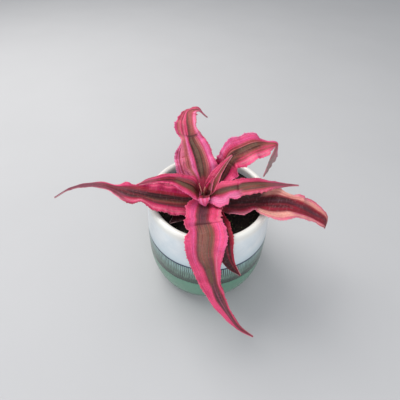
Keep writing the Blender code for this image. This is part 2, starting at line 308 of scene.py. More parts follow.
def wall_radius(height):
    """The outer radius with the groove at the glaze line and a trace of the potter's fingers."""
    groove = GROOVE_DEPTH * math.exp(-(((height - GLAZE_LINE) / GROOVE_HALF) ** 2))
    fingers = sum(depth * math.sin(height / pitch + turn) for depth, pitch, turn in FINGER_WAVES)
    return outer_radius(height) - groove + fingers - FINGER_INSET


def pot_rings():
    """(radius, height) of each ring from the foot up, over the lip and down to the floor."""
    rings = [(FOOT_RADIUS - inset, height) for inset, height in FOOT_EASE]
    shoulder = POT_HEIGHT - LIP_ROUND
    for heights in (LOW_RINGS, np.arange(*WALL_RINGS), np.arange(*GROOVE_RINGS),
                    np.linspace(ABOVE_GROOVE, shoulder - 1.5, 8)):
        rings += [(wall_radius(height), height) for height in heights]
    middle = outer_radius(shoulder) - WALL / 2
    for turn in np.radians(np.linspace(0.0, 180.0, 11)):
        rings.append((middle + WALL / 2 * math.cos(turn), shoulder + LIP_ROUND * math.sin(turn)))
    for height in np.linspace(shoulder - 2.5, FOOT_CURVE_HEIGHT, 12):
        rings.append((outer_radius(height) - WALL, height))
    inner_foot = outer_radius(FOOT_CURVE_HEIGHT) - WALL - (FOOT_RADIUS - WALL)
    for turn in np.radians(np.linspace(12.0, 75.0, 5)):
        radius = FOOT_RADIUS - WALL + inner_foot * math.cos(turn)
        rings.append((radius, FOOT_CURVE_HEIGHT - (FOOT_CURVE_HEIGHT - POT_FLOOR) * math.sin(turn)))
    rings.append((FOOT_RADIUS - WALL - 4.0, POT_FLOOR))
    return rings


# %% Raise a round form ring by ring
def raised(name, rings, sides):
    """A closed round form: a filled circle extruded and scaled to each ring in turn."""
    bpy.ops.object.select_all(action="DESELECT")
    radius, height = rings[0]
    bpy.ops.mesh.primitive_circle_add(vertices=sides, radius=radius * MM, fill_type="NGON",
                                      location=(0.0, 0.0, height * MM))
    made = bpy.context.active_object
    made.name = name
    bpy.ops.object.transform_apply(location=True)
    bpy.ops.object.mode_set(mode="EDIT")
    bpy.ops.mesh.select_all(action="SELECT")
    for after, top in rings[1:]:
        bpy.ops.mesh.extrude_region_move(
            TRANSFORM_OT_translate={"value": (0.0, 0.0, (top - height) * MM)})
        bpy.ops.transform.resize(value=(after / radius, after / radius, 1.0),
                                 center_override=(0.0, 0.0, top * MM))
        radius, height = after, top
    bpy.ops.mesh.select_all(action="SELECT")
    bpy.ops.mesh.normals_make_consistent(inside=False)
    bpy.ops.object.mode_set(mode="OBJECT")
    return made


def pick(piece):
    """Selects one piece alone and makes it the active one."""
    bpy.ops.object.select_all(action="DESELECT")
    piece.select_set(True)
    bpy.context.view_layer.objects.active = piece


def finish_with(piece, kind, **settings):
    """Adds a modifier, sets it and applies it."""
    pick(piece)
    added = piece.modifiers.new(kind.lower(), kind)
    for name, value in settings.items():
        setattr(added, name, value)
    bpy.ops.object.modifier_apply(modifier=added.name)


def smooth_by(piece, angle):
    pick(piece)
    bpy.ops.object.shade_smooth_by_angle(angle=math.radians(angle))


pot = raised("glazed_pot", pot_rings(), POT_SIDES)
finish_with(pot, "SUBSURF", levels=1, render_levels=1)
smooth_by(pot, 40.0)
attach(pot, "root")
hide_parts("pot")
print("pot faces:", len(pot.data.polygons))

# %% [markdown]
# The pot's glaze
#
# Two glazes overlap: a milky, bluish white runs down from the lip, and a sea green comes up
# from the foot. Between them a grey-teal belt carries fine upright strokes, as if combed, with
# a thin slate line on top. Heights are read from Object coordinates, and a slow noise round
# the pot bends every border a little, because brushed glaze never ends on a perfect circle.

# %% Glaze colours
CREAM = ink(231, 230, 224)
MILK = ink(225, 230, 232)
MILK_SHADE = ink(207, 217, 223)
SKIM = ink(186, 204, 212)
SLATE = ink(20, 42, 74)
BELT_SKY = ink(146, 178, 174)
BELT = ink(116, 146, 132)
BELT_DARK = ink(16, 26, 30)
BELT_BROWN = ink(72, 88, 78)
SEA = ink(92, 138, 116)
# The sea green darkened as painted shade, for the low part that curves in under the belly.
SEA_SHADED = ink(54, 80, 66)
BISQUE = ink(176, 164, 146)
TICK_PITCH = 1.42
TICK_DEPTH = 0.9
SLATE_WIDTH = 0.75
SKIM_REACH = 13.0
SKIM_DEPTH = 0.9
SLOW_DRIFT = (42.0, 0.9)
QUICK_DRIFT = (150.0, 0.5)
TICK_DRIFT = (200.0, 0.9)
CLOUD_SCALE = 60.0
SPECKLE_SCALE = 420.0
PEEL_SCALE = 260.0
LIP_FADE = (75.0, 81.5)
DRY_FOOT = (0.15, 0.7)

# %% Glaze recipe
glaze = Recipe("pot_glaze_bands", Coat_Weight=0.22, Coat_Roughness=0.08, IOR=1.45)
place = glaze.place()
axes = glaze.node("ShaderNodeSeparateXYZ", {}, {0: place})
side_x, side_y, height = axes.beside(0), axes.beside(1), axes.beside(2) * 1000.0
turn = side_y.maths("ARCTAN2", side_y, side_x)


def drift(scale, reach):
    """A noise about zero, which moves a border to either side by at most half of reach."""
    return (glaze.noise(place, scale, 2.0) - 0.5) * reach


level = height + (drift(*SLOW_DRIFT) + drift(*QUICK_DRIFT))
cloud = glaze.noise(place, CLOUD_SCALE, 5.0, 0.6)
milk = glaze.mix(glaze.step(cloud, 0.35, 0.7), MILK, MILK_SHADE)
thick = glaze.step(level + (cloud - 0.5) * 4.0, GLAZE_LINE + SKIM_REACH, GLAZE_LINE)
milk = glaze.mix(thick * SKIM_DEPTH, milk, SKIM)
upper = glaze.mix(glaze.step(height + (cloud - 0.5) * 5.0, *LIP_FADE), milk, CREAM)
sway = turn * (RIM_RADIUS / TICK_PITCH) + drift(*TICK_DRIFT)
even = (sway * math.tau).maths("COSINE", sway * math.tau)
uneven = glaze.noise(glaze.point(sway * 1.1, height * 0.09, 0.0), 1.0, 1.0, 0.5)
ticks = glaze.step(even * 0.34 + uneven, 0.44, 0.62)
drop = glaze.step(level, HATCH_FOOT, GLAZE_LINE)
below = glaze.noise(glaze.point(sway * 1.7, height * 0.35, 3.0), 1.0, 1.0, 0.5)
ticks = ticks * glaze.step(below + drop * 0.4, 0.42, 0.6, 0.4, 1.0)
belt_ground = glaze.mix(glaze.step(drop, 0.5, 0.95), BELT, BELT_SKY)
browned = glaze.step(drop + (cloud - 0.5) * 0.3, 0.38, 0.05)
belt_ground = glaze.mix(browned, belt_ground, BELT_BROWN)
belt = glaze.mix(ticks * TICK_DEPTH, belt_ground, BELT_DARK)
# Painted shade: the sea green darkens towards the foot, where the pot curves in under its belly near the
# floor.
above_foot_shade = glaze.step(height + (cloud - 0.5) * 10.0, -3.0, HATCH_FOOT * 0.5)
base = glaze.mix(above_foot_shade, SEA_SHADED, SEA)
speckle = glaze.noise(place, SPECKLE_SCALE, 3.0, 0.6)
base = glaze.mix(glaze.step(speckle, 0.5, 0.7) * 0.2, base, BELT_BROWN)
ragged = level + (ticks - 0.5) * 0.9
lower = glaze.mix(glaze.step(ragged, HATCH_FOOT - 0.5, HATCH_FOOT + 0.5), base, belt)
seam = glaze.step(ragged, HATCH_FOOT - 0.6, HATCH_FOOT)
seam = seam * glaze.step(ragged, HATCH_FOOT + 2.4, HATCH_FOOT)
lower = glaze.mix(seam * 0.55, lower, BELT_DARK)
outside = glaze.mix(glaze.step(level, GLAZE_LINE - 0.15, GLAZE_LINE + 0.2), lower, upper)
line = 1.0 - glaze.step(abs(level - GLAZE_LINE), SLATE_WIDTH * 0.7, SLATE_WIDTH * 1.3)
outside = glaze.mix(line, outside, SLATE)
bleed = glaze.step(level, GLAZE_LINE + 3.5, GLAZE_LINE + 0.3)
outside = glaze.mix(bleed * glaze.step(level, GLAZE_LINE, GLAZE_LINE + 0.4) * 0.12, outside, SLATE)
combed = ticks * glaze.step(level, HATCH_FOOT, HATCH_FOOT + 2.0)
combed = combed * glaze.step(level, GLAZE_LINE, GLAZE_LINE - 1.0)
foot = glaze.step(height, *DRY_FOOT)
glaze.set("Base Color", glaze.mix(foot, BISQUE, outside))
glaze.set("Roughness", glaze.step(foot, 0.0, 1.0, 0.75, 0.26) + combed * 0.08)
orange_peel = glaze.noise(place, PEEL_SCALE, 3.0)
glaze.bump(orange_peel * 0.5 - combed * 0.5, 0.12, 0.0005)
pot.data.materials.append(glaze.material)
print("glaze nodes:", len(glaze.tree.nodes))

# %% [markdown]
# The soil
#
# Potting mix is nearly black, lies a little below the lip and is never smooth. We raise a
# plug that fits the pot, ring by ring like the pot itself, up its side and in over its top.
# Two Displace modifiers with cloud textures then push the top into lumps and grains. The
# weights of a vertex group keep the sides and the bottom still, so the plug stays in its pot.

# %% The plug of soil
SOIL_LEVEL = 75.4
SOIL_CLEARANCE = 0.4
SOIL_SIDES = 120
SOIL_RINGS = 34
SOIL_DIP = 0.9
LUMP_SIZE = 7.0
LUMP_HEIGHT = 1.5
GRAIN_SIZE = 1.6
GRAIN_HEIGHT = 0.9
TOP_BAND = 1.5
STILL_RIM = 0.3
RIM_EASE = 3.0


def soil_rings():
    """The plug's rings: up inside the wall, then in over the top towards the middle."""
    rings = []
    inner_foot = outer_radius(FOOT_CURVE_HEIGHT) - WALL - (FOOT_RADIUS - WALL)
    rings.append((FOOT_RADIUS - WALL - 3.5, POT_FLOOR + SOIL_CLEARANCE))
    for turn in np.radians((70.0, 45.0, 22.0)):
        radius = FOOT_RADIUS - WALL + inner_foot * math.cos(turn) - SOIL_CLEARANCE
        reach = FOOT_CURVE_HEIGHT - POT_FLOOR - SOIL_CLEARANCE
        rings.append((radius, FOOT_CURVE_HEIGHT - reach * math.sin(turn)))
    for height in np.linspace(FOOT_CURVE_HEIGHT, SOIL_LEVEL, 6):
        rings.append((outer_radius(height) - WALL - SOIL_CLEARANCE, height))
    rim = rings[-1][0]
    for part in np.linspace(0.0, 0.985, SOIL_RINGS)[1:]:
        rings.append((rim * (1.0 - part), SOIL_LEVEL - SOIL_DIP * part))
    return rings


def clouds(name, size):
    texture = bpy.data.textures.new(name, "CLOUDS")
    texture.noise_scale = size * MM
    texture.noise_depth = 3
    return texture


soil = raised("soil_plug", soil_rings(), SOIL_SIDES)
top = soil.vertex_groups.new(name="top")
rim = outer_radius(SOIL_LEVEL) - WALL - SOIL_CLEARANCE
for vert in soil.data.vertices:
    reach = math.hypot(vert.co.x, vert.co.y) / MM
    if vert.co.z > (SOIL_LEVEL - TOP_BAND) * MM and reach < rim - STILL_RIM:
        top.add([vert.index], min(1.0, (rim - reach) / RIM_EASE), "REPLACE")
for name, size, lift, middle in (("lumps", LUMP_SIZE, LUMP_HEIGHT, 0.55),
                                 ("grains", GRAIN_SIZE, GRAIN_HEIGHT, 0.5)):
    finish_with(soil, "DISPLACE", texture=clouds(name, size), strength=lift * MM,
                mid_level=middle, direction="Z", vertex_group="top", texture_coords="LOCAL")
smooth_by(soil, 60.0)
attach(soil, "root")
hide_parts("soil")
print("soil faces:", len(soil.data.polygons))

# %% [markdown]
# Crumbs on the soil
#
# What makes soil look like soil is loose stuff: crumbs of peat, bits of bark and here and
# there a speck of moss. We shape three crumbs from an icosphere, each with its corners pushed
# about at random from a fixed seed, and set copies of them down on the surface. The spot
# under a copy is found with a ray that falls on the plug. Finally all the copies become one
# piece, because hundreds of separate objects would only slow things down.

# %% Crumbs
CRUMB_SEED = 7
CRUMB_COUNT = 620
CRUMB_SIZES = (0.35, 1.25)
MOSS_COUNT = 260
MOSS_SIZES = (0.3, 0.8)
CRUMB_RIM = 1.6


def crumb_shape(seed, roughness, squash):
    """A loose grain of unit size: an icosphere with its corners pushed about."""
    bpy.ops.object.select_all(action="DESELECT")
    bpy.ops.mesh.primitive_ico_sphere_add(subdivisions=1, radius=1.0)
    made = bpy.context.active_object
    bpy.ops.object.mode_set(mode="EDIT")
    bpy.ops.mesh.select_all(action="SELECT")
    bpy.ops.transform.vertex_random(offset=roughness, uniform=0.6, seed=seed)
    bpy.ops.transform.resize(value=(1.0, 0.75, squash), center_override=(0.0, 0.0, 0.0))
    bpy.ops.object.mode_set(mode="OBJECT")
    return made


def ground_height(x, y):
    """Height of the soil at a spot, found by a ray that falls on it."""
    hit, spot, normal, face = soil.ray_cast(Vector((x * MM, y * MM, 0.2)), Vector((0, 0, -1)))
    return spot.z / MM if hit else None


def scattered(name, shapes, count, sizes, draw):
    """Copies of the shapes, set down at random inside the pot's mouth and joined."""
    bpy.ops.object.select_all(action="DESELECT")
    mouth = outer_radius(SOIL_LEVEL) - WALL - CRUMB_RIM
    copies = []
    while len(copies) < count:
        reach = mouth * math.sqrt(draw.random())
        turn = draw.uniform(0.0, math.tau)
        x, y = reach * math.cos(turn), reach * math.sin(turn)
        size = sizes[0] + (sizes[1] - sizes[0]) * draw.random() ** 2.2
        spin = Euler([draw.uniform(0.0, math.tau) for axis in range(3)]).to_matrix().to_4x4()
        height = ground_height(x, y)
        copy = draw.choice(shapes).copy()
        copy.data = copy.data.copy()
        at = Matrix.Translation(Vector((x, y, height + 0.25 * size)) * MM)
        copy.data.transform(at @ spin @ Matrix.Scale(size * MM, 4))
        bpy.context.collection.objects.link(copy)
        copies.append(copy)
    for copy in copies:
        copy.select_set(True)
    bpy.context.view_layer.objects.active = copies[0]
    bpy.ops.object.join()
    made = bpy.context.active_object
    made.name = name
    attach(made, "root")
    return made


draw = random.Random(CRUMB_SEED)
shapes = [crumb_shape(seed, 0.5, squash) for seed, squash in ((1, 0.6), (2, 0.8), (3, 0.45))]
crumbs = scattered("soil_crumbs", shapes, CRUMB_COUNT, CRUMB_SIZES, draw)
moss = scattered("moss_specks", shapes, MOSS_COUNT, MOSS_SIZES, draw)
for shape in shapes:
    bpy.data.objects.remove(shape)
print("crumb faces:", len(crumbs.data.polygons), "moss faces:", len(moss.data.polygons))

# %% [markdown]
# Soil finishes
#
# Moist peat is almost black with a brown cast, and the crumbs differ a little from each other.
# The colour reads Object coordinates at a coarse scale for the crumbs and a fine one for grit.

# %% Soil, crumb and moss finishes
PEAT = ink(34, 26, 22)
PEAT_DARK = ink(14, 11, 10)
FIBRE = ink(112, 84, 64)
MOSS_GREEN = ink(112, 132, 84)
MOSS_DARK = ink(34, 46, 22)


def earth(name, dark, plain, bright, cell):
    """A rough, mottled finish with lighter grains of about the given size in mm."""
    made = Recipe(name, Specular_IOR_Level=0.25)
    spot = made.place()
    patch = made.noise(spot, 1.0 / (cell * 4.0 * MM), 4.0, 0.65)
    grit = made.noise(spot, 1.0 / (cell * MM), 3.0, 0.6)
    tone = made.mix(made.step(patch, 0.35, 0.65), dark, plain)
    tone = made.mix(made.step(grit, 0.58, 0.72) * 0.7, tone, bright)
    made.set("Base Color", tone)
    made.set("Roughness", 0.85 + grit * 0.15)
    made.bump(grit + patch * 0.5, 0.6, 0.0006)
    return made.material


soil.data.materials.append(earth("soil_peat", PEAT_DARK, PEAT, FIBRE, 0.5))
crumbs.data.materials.append(earth("soil_crumb", PEAT_DARK, PEAT, FIBRE, 0.7))
moss.data.materials.append(earth("soil_moss", MOSS_DARK, MOSS_GREEN, MOSS_GREEN, 0.3))

# %% [markdown]
# The stem
#
# Little of the stem shows: a stub under the leaves, wrapped in the dry brown bases of older
# leaves. It is raised from a circle too, with a small step for each old leaf base, and its
# sides are pulled in and out a little so that it isn't a perfect cylinder.

# %% Stem
STEM_SIDES = 40
STEM_FOOT = 70.0
STEM_RADIUS = 4.6
STEM_TOP = 85.6
STEM_TOP_RADIUS = 2.6
STEM_TAPER_FROM = 79.0
STEM_AT = (-3.0, -4.0)
SHEATH_PITCH = 1.7
SHEATH_STEP = 0.45
STEM_DARK = ink(58, 38, 28)
STEM_TAN = ink(124, 92, 62)
STEM_PINK = ink(150, 70, 84)


def stem_rings():
    """Rings of the stem with a small step at each old leaf base."""
    rings = []
    for height in np.arange(STEM_FOOT, STEM_TOP + 0.1, 0.35):
        taper = max(0.0, (height - STEM_TAPER_FROM) / (STEM_TOP - STEM_TAPER_FROM))
        radius = STEM_RADIUS + (STEM_TOP_RADIUS - STEM_RADIUS) * taper
        part = (height - STEM_FOOT) / SHEATH_PITCH % 1.0
        rings.append((radius - SHEATH_STEP * (1.0 - part), height))
    rings.append((STEM_TOP_RADIUS * 0.4, STEM_TOP + 0.2))
    return rings


stem = raised("leaf_stem", stem_rings(), STEM_SIDES)
for vert in stem.data.vertices:
    turn = math.atan2(vert.co.y, vert.co.x)
    height = vert.co.z / MM
    swell = 1.0 + 0.035 * math.sin(3 * turn + height * 1.1) + 0.025 * math.sin(7 * turn - height)
    vert.co.x = vert.co.x * swell + STEM_AT[0] * MM
    vert.co.y = vert.co.y * swell + STEM_AT[1] * MM
smooth_by(stem, 50.0)
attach(stem, "root")
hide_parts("stem")

bark = Recipe("stem_fibre", Roughness=0.8)
spot = bark.place()
stretch = bark.node("ShaderNodeMapping", {}, {"Vector": spot, "Scale": (1.0, 1.0, 0.12)})
threads = bark.noise(stretch, 2200.0, 3.0, 0.6)
rings = bark.noise(spot, 320.0, 3.0)
tone = bark.mix(bark.step(threads, 0.35, 0.65), STEM_DARK, STEM_TAN)
tone = bark.mix(bark.step(rings, 0.45, 0.7) * 0.6, tone, STEM_PINK)
bark.set("Base Color", tone)
bark.bump(threads, 0.5, 0.0004)
stem.data.materials.append(bark.material)
print("stem faces:", len(stem.data.polygons))

# %% [markdown]
# How a leaf is described
#
# A cryptanthus leaf is a long strap with a shallow channel, a waved edge with small soft
# teeth, and stripes that all run from root to tip. We describe each leaf by a few stations
# along its middle: how far out, how far sideways and how high it is, and how wide it is to
# each side. Nearly the same stations are in the construction model, so the fine leaf lies where
# the plain one does. For eight of the leaves, most stations and nearly all the waves were found
# by a fitting program that compared the leaf's edges with the picture. The others were placed
# on the picture.
#
# The stripes are written in words, from the right edge to the left edge: "0 hot, 25 mauve" is
# hot pink at the edge and mauve a quarter of the way across. A leaf that changes along its
# length has several such lists, each with the share of the length at which it begins.

# %% The colours of the stripes
PALETTE = {
    "hot": ink(236, 80, 130), "pale": ink(238, 130, 180), "mauve": ink(234, 92, 152),
    "blush": ink(230, 122, 148), "rose": ink(206, 66, 102), "red": ink(196, 34, 66),
    "crimson": ink(148, 22, 50), "garnet": ink(122, 36, 50), "magenta": ink(176, 22, 84),
    "wine": ink(72, 12, 26), "sloe": ink(48, 8, 18), "ember": ink(104, 28, 32),
    "plum": ink(86, 46, 58), "dusk": ink(106, 60, 68), "umber": ink(58, 28, 30),
    "bark": ink(82, 50, 42), "olive": ink(112, 84, 66), "umbra": ink(138, 92, 78),
    "russet": ink(134, 74, 62), "clay": ink(172, 88, 86), "tan": ink(196, 116, 112),
    "peach": ink(238, 166, 154), "sand": ink(238, 184, 166), "thrift": ink(150, 80, 102),
    "murk": ink(122, 58, 80), "ash": ink(160, 146, 142), "silver": ink(204, 186, 188),
    "thread": ink(206, 70, 92), "brick": ink(140, 52, 56), "soot": ink(70, 24, 32),
}


def stripes(words):
    """Stops of a colour ramp from words: "0 hot, 25 mauve" is percent across, then a colour."""
    stops = [stop.split() for stop in words.split(",")]
    return [(float(percent) / 100.0, PALETTE[hue]) for percent, hue in stops]


# %% How the leaves' edges behave
FINE_STEPS = 600
TIP_HALF_WIDTH = 0.35
EDGE_POWER = 2.2
WAVE_FROM = 6.0
WAVE_GROWS_OVER = 14.0
WAVE_FADES_OVER = 16.0
WAVE_WIDTH = 8.0
WIDEST_WAVE = 1.2
SCALLOP = 0.05
WANDER = 0.7
WANDER_LENGTH = 15.0
PINCH_REACH = 2.2
CLASP_REACH = 9.0
CLASP_CUP = 0.14


@dataclass
class Leaf:
    """A leaf: its heading round the stem, its stations, and how it is painted. Wave, length,
    phase, clasp and frill are for the left and the right half. A bite is its place along the
    right edge, its depth and its reach in mm, and a negative depth makes a lobe."""
    name: str
    heading: float
    stations: list
    slot: str
    stages: list
    roll: tuple = (0.0, 0.0)
    cup: float = 0.16
    wave: tuple = (1.6, 1.6)
    length: tuple = (13.0, 13.0)
    phase: tuple = (0.0, 2.1)
    pinch: tuple = (0.0, 0.0)
    clasp: tuple = (0.0, 0.0)
    line: str = "thread"
    scurf: float = 0.15
    rim: float = 0.15
    frill: tuple = (1.0, 1.0)
    sheen: float = 0.3
    lean: list = None
    # Where the crease lies and the painted shade along it: its place in mm, the right and left ends of
    # the shade across the leaf, and its strength.
    crease_and_shade: tuple = None
    bites: tuple = ()
    young: bool = False
    # A tint near the root: its reach in mm, its colour and its strength. A dark tint there is painted
    # shade deep in the rosette; a pink one is the leaf's own colour.
    root: tuple = (0.0, "wine", 0.0)
    tip: tuple = (1.0, "wine", 0.0)


